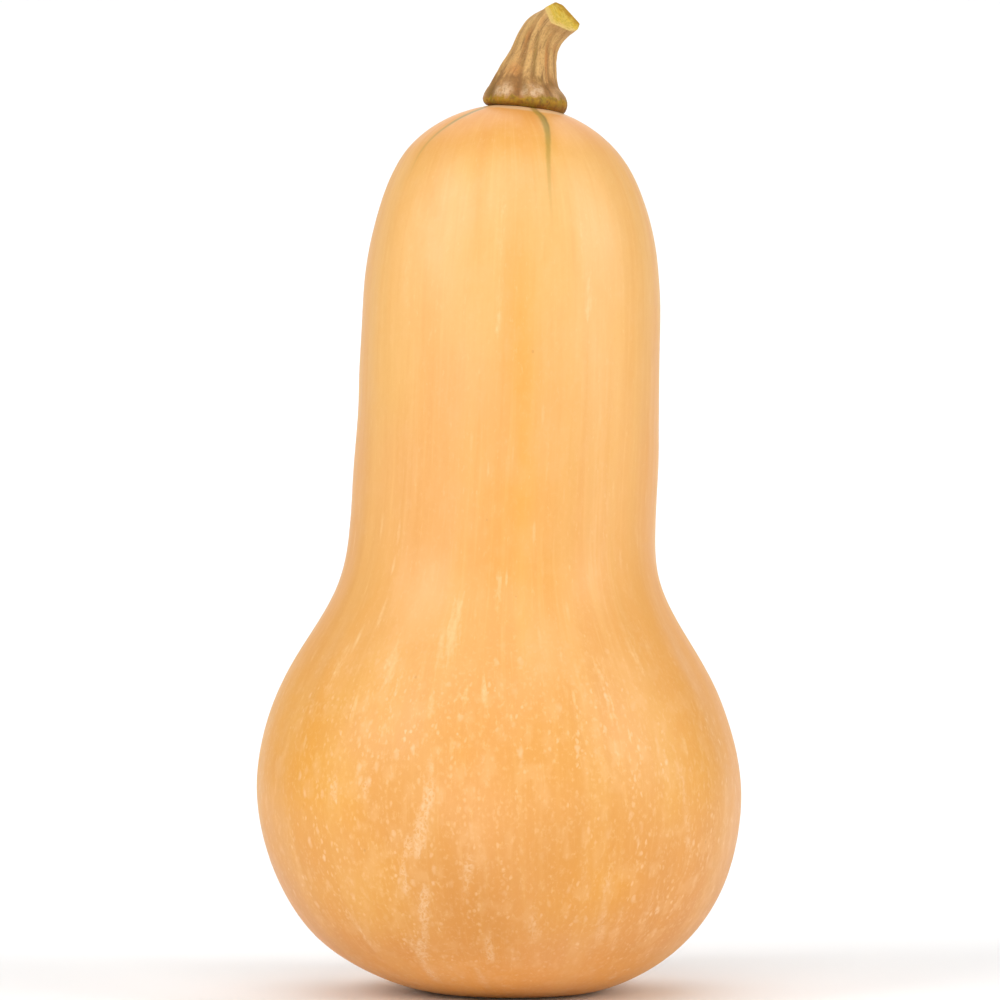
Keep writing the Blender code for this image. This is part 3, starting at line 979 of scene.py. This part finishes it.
    # A few brown specks.
    speck, speck_tint = m.cell_pair(m.scaled(place, (0.13, 0.13, 0.10)))
    speck = m.mul(m.step(speck, 0.060, 0.028), m.step(m.red(speck_tint)[2], 0.62, 0.66))
    colour = m.mix(m.mul(speck, 0.25), colour, rgb(186, 116, 58))
    # A shade less red over all.
    colour = m.mix(1.0, colour, (0.885, 1.0, 1.0), "MULTIPLY")
    m.set("Base Color", colour)
    rough = m.add(0.41, m.mul(broken, 0.05))
    rough = m.add(rough, m.add(m.mul(netted, 0.12), m.mul(m.add(pore, stroke), 0.08)))
    m.set("Roughness", m.math("MAXIMUM", rough, m.step(scar, 6.5, 4.5, 0.0, 0.85)))
    m.set("Specular IOR Level", 0.44)
    height = m.add(m.mul(netted, 0.5), m.mul(m.add(pore, m.mul(pore2, 0.4)), 0.4))
    height = m.add(height, m.mul(grainy, m.step(scar, 6.5, 5.0, 0.30, 3.0)))
    m.set("Normal", m.bump(height, 0.00010, 0.7))
    return m.material


def wood():
    m = Net("squash_stalk_wood")
    place, fibre = m.attr("place", True), m.attr("fibre", True)
    ridge, knob, foot = m.attr("ridge"), m.attr("knob"), m.attr("foot")
    along = m.attr("along")
    thread = m.noise(m.scaled(fibre, (2.2, 2.2, 0.15)), 1.0, 4.0, 0.65)
    fine = m.noise(m.scaled(fibre, (6.0, 6.0, 0.6)), 1.0, 3.0, 0.6)
    mottle = m.noise(m.scaled(place, (0.50, 0.50, 0.36)), 1.0, 4.0, 0.6)
    spotty = m.noise(m.scaled(place, (1.7, 1.7, 1.7)), 1.0, 4.0, 0.65)
    # Tan on the ridges, brown in the grooves.
    colour = m.mix(m.step(ridge, 0.05, 0.60), rgb(152, 108, 54), rgb(200, 156, 93))
    colour = m.mix(m.mul(m.step(along, 17.0, 22.5), 0.45), colour, rgb(204, 164, 102))
    colour = m.mix(m.mul(m.step(thread, 0.52, 0.72), 0.40), colour, rgb(208, 168, 104))
    colour = m.mix(m.mul(m.step(thread, 0.48, 0.28), 0.50), colour, rgb(136, 94, 46))
    colour = m.mix(m.mul(m.step(fine, 0.50, 0.28), 0.50), colour, rgb(128, 92, 48))
    colour = m.mix(m.mul(m.step(spotty, 0.48, 0.30), 0.45), colour, rgb(128, 94, 52))
    colour = m.mix(m.mul(m.step(spotty, 0.54, 0.72), 0.38), colour, rgb(220, 184, 126))
    colour = m.mix(m.mul(m.step(mottle, 0.55, 0.74), 0.45), colour, rgb(200, 140, 72))
    colour = m.mix(m.mul(m.step(mottle, 0.45, 0.28), 0.40), colour, rgb(160, 138, 76))
    colour = m.mix(m.mul(m.attr("rust"), m.step(spotty, 0.30, 0.60, 0.30, 0.70)), colour, rgb(196, 122, 52))
    colour = m.mix(m.mul(m.attr("olive"), m.step(spotty, 0.70, 0.40, 0.35, 0.70)), colour, rgb(140, 114, 52))
    colour = m.mix(m.mul(m.attr("crack"), m.mul(m.step(thread, 0.56, 0.40), 0.40)), colour, rgb(106, 72, 36))
    # The foot: brown lobes with painted pinkish highlights on their tops, and painted shade in the creases.
    low = m.step(m.add(along, m.mul(m.sub(mottle, 0.5), 12.0)), 10.0, 5.0)
    lumpy = m.noise(m.scaled(place, (0.75, 0.75, 0.75)), 1.0, 2.0, 0.55)
    knobby = m.mix(m.step(knob, 0.20, 0.85), rgb(140, 95, 44), rgb(186, 142, 92))
    knobby = m.mix(m.mul(m.step(spotty, 0.52, 0.32), 0.60), knobby, rgb(122, 80, 38))
    knobby = m.mix(m.mul(m.step(mottle, 0.52, 0.70), 0.50), knobby, rgb(172, 110, 48))
    # Painted highlights in a row across the lobes' tops, fewer on the right lobe.
    row = m.mul(m.step(along, 2.2, 3.4), m.step(along, 6.8, 4.6))
    glint = m.mul(m.step(knob, 0.30, 0.80), m.step(lumpy, 0.40, 0.58, 0.15, 1.0))
    glint = m.mul(glint, m.step(spotty, 0.32, 0.56, 0.45, 1.0))
    glint = m.mul(glint, m.step(m.red(place)[0], 13.5, 10.5, 0.25, 1.0))
    knobby = m.mix(m.mul(m.mul(glint, row), 0.85), knobby, rgb(214, 182, 146))
    colour = m.mix(m.mul(low, 0.85), colour, knobby)
    colour = m.mix(m.mul(m.attr("olive"), m.mul(low, 0.75)), colour, rgb(122, 90, 30))
    # Painted shade in the creases between the lobes.
    colour = m.mix(m.mul(m.attr("crease"), 0.62), colour, rgb(106, 70, 30))
    # Olive and dark gold where it meets the fruit.
    lip = m.add(along, m.add(m.mul(m.sub(mottle, 0.5), 1.6), m.mul(m.sub(lumpy, 0.5), 2.2)))
    gold = m.mix(m.step(lip, 0.4, 2.4), rgb(128, 80, 0), rgb(166, 124, 6))
    gold = m.mix(m.mul(m.step(mottle, 0.54, 0.40), 0.60), gold, rgb(136, 118, 10))
    gold = m.mix(m.mul(m.step(lumpy, 0.50, 0.32), 0.55), gold, rgb(104, 64, 8))
    gold = m.mix(m.mul(m.step(spotty, 0.54, 0.70), 0.30), gold, rgb(184, 146, 34))
    colour = m.mix(m.mul(m.step(lip, 3.0, 2.1), 0.95), colour, gold)
    # The cut end: yellow wood, darker gold towards its upper edge and cream along its lower one.
    cut, rim, over = m.attr("cut"), m.attr("rim"), m.attr("over")
    soft = m.add(over, m.mul(m.sub(mottle, 0.5), 4.0))
    face = m.mix(m.step(spotty, 0.34, 0.62), rgb(186, 154, 38), rgb(220, 188, 78))
    face = m.mix(m.mul(m.step(mottle, 0.50, 0.62), 0.70), face, rgb(212, 170, 16))
    face = m.mix(m.mul(m.step(soft, 0.6, 2.4), m.step(spotty, 0.66, 0.38, 0.45, 1.0)), face, rgb(174, 128, 4))
    edge = m.step(m.add(rim, m.add(m.mul(m.sub(spotty, 0.5), 0.70), m.mul(m.sub(mottle, 0.5), 1.1))), 0.56, 0.98)
    face = m.mix(m.mul(m.mul(edge, m.step(soft, -0.4, -2.0)), 0.75), face, rgb(222, 186, 116))
    face = m.mix(m.mul(m.mul(edge, m.step(soft, 0.2, 1.8)), 0.70), face, rgb(168, 122, 10))
    # Painted shade on the shaft's under side, just below the cut end's rim.
    colour = m.mix(m.mul(m.mul(m.attr("beneath"), m.step(along, 22.5, 25.0)), 0.25), colour, rgb(140, 98, 58))
    colour = m.mix(cut, colour, face)
    m.set("Base Color", colour)
    m.set("Roughness", m.add(0.56, m.mul(spotty, 0.22)))
    m.set("Specular IOR Level", 0.4)
    height = m.add(m.mul(thread, 0.6), m.add(m.mul(fine, 0.5), m.mul(spotty, 0.8)))
    m.set("Normal", m.bump(height, 0.00014, 0.9))
    return m.material


# ---- stage -------------------------------------------------------------------
def make_stage():
    """A pale floor that sweeps up into a backdrop and fades out into white at its sides and front."""
    near = [0.75 + 0.55 * k / 8 for k in range(9)]
    profile = [(-y, 0.0) for y in reversed(near)] + [(0.0, 0.0), (0.9, 0.0)]
    for k in range(1, 17):
        a = math.pi / 2 * k / 16
        profile.append((0.9 + 1.4 * math.sin(a), 1.4 * (1 - math.cos(a))))
    profile.append((2.3, 6.0))
    columns = [-6.0] + [-x for x in reversed(near)] + [0.0] + near + [6.0]
    n = len(columns)
    verts, faces, fade = [], [], []
    for py, pz in profile:
        for px in columns:
            verts.append((px, py, pz - 0.0003))
            side = float(smooth(near[0], near[-1], abs(px)) * (1 - smooth(0.9, 1.5, py)))
            fade.append(max(side, float(smooth(near[0], near[-1], -py))))
    for k in range(len(profile) - 1):
        for j in range(n - 1):
            faces.append((n * k + j, n * k + j + 1, n * k + n + j + 1, n * k + n + j))
    mesh = bpy.data.meshes.new("studio_sweep")
    mesh.from_pydata(verts, [], faces)
    mesh.shade_smooth()
    kept = mesh.attributes.new("fade", "FLOAT", "POINT")
    kept.data.foreach_set("value", fade)
    m = Net("studio_white")
    m.set("Base Color", (0.95, 0.95, 0.95))
    m.set("Roughness", 0.9)
    m.set("Specular IOR Level", 0.1)
    m.set("Alpha", m.sub(1.0, m.attr("fade")))
    mesh.materials.append(m.material)
    ob = bpy.data.objects.new("studio_sweep", mesh)
    bpy.context.scene.collection.objects.link(ob)
    return ob


def lamp(name, place, target, size, power, colour=(1, 1, 1)):
    data = bpy.data.lights.new(name, "AREA")
    data.shape = "RECTANGLE"
    data.size, data.size_y = size
    data.energy = power
    data.color = colour
    ob = bpy.data.objects.new(name, data)
    ob.location = place
    ob.rotation_euler = (Vector(target) - Vector(place)).to_track_quat("-Z", "Y").to_euler()
    ob.visible_camera = False
    bpy.context.scene.collection.objects.link(ob)
    return ob


def white_world(strength):
    """Soft even light from all round, that looks pure white behind the object."""
    world = bpy.data.worlds.new("studio")
    world.use_nodes = True
    nodes, links = world.node_tree.nodes, world.node_tree.links
    shade = nodes["Background"]
    shade.inputs["Color"].default_value = (1.0, 1.0, 1.0, 1.0)
    path = nodes.new("ShaderNodeLightPath")
    level = nodes.new("ShaderNodeMapRange")
    level.inputs["To Min"].default_value = strength
    level.inputs["To Max"].default_value = 1.0
    links.new(path.outputs["Is Camera Ray"], level.inputs["Value"])
    links.new(level.outputs["Result"], shade.inputs["Strength"])
    bpy.context.scene.world = world


fruit = make_fruit()
fruit.data.materials.append(skin())
stalk = make_stalk()
stalk.data.materials.append(wood())
for piece, node, slot in ((fruit, "fruit", "skin"), (stalk, "stem", "stalk")):
    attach(piece, "root")
    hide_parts(node)
make_stage()

white_world(0.16)
lamp("left", (-1.35, -0.75, 0.35), (0.0, 0.0, 0.12), (0.7, 1.1), 1.8)
lamp("left_high", (-1.15, -0.75, 0.95), (0.0, 0.0, 0.14), (0.7, 1.0), 11.6)
lamp("left_front", (-0.80, -1.20, 0.70), (0.0, 0.0, 0.14), (0.6, 0.9), 1.0)
lamp("right", (1.47, -0.45, 0.35), (0.0, 0.0, 0.12), (0.7, 1.1), 6.4)
lamp("right_high", (1.30, -0.55, 0.95), (0.0, 0.0, 0.14), (0.7, 1.0), 8.0)
lamp("above", (0.0, -1.0, 1.3), (0.0, 0.0, 0.12), (1.2, 0.8), 8.4)
lamp("low", (0.0, -0.95, 0.05), (0.0, 0.0, 0.05), (1.6, 0.08), 2.1)
lamp("behind", (0.0, 1.2, 1.2), (0.0, 0.0, 0.05), (1.6, 0.8), 3.0)
lamp("backdrop", (0.0, 0.7, 1.5), (0.0, 2.0, 0.25), (1.6, 0.8), 17.5)

camera = bpy.data.cameras.new("camera")
camera.sensor_width = 36.0
camera.lens = 36.0 * 1200.0 / 250.0
camera.clip_start, camera.clip_end = 0.05, 50.0
camera.dof.use_dof = False
view = bpy.data.objects.new("camera", camera)
view.location = (0.00025, -1.2, 0.1226)
view.rotation_euler = (math.radians(90), 0, 0)
bpy.context.scene.collection.objects.link(view)
bpy.context.scene.camera = view
bpy.context.scene.view_settings.view_transform = "Standard"
bpy.context.scene.view_settings.look = "None"
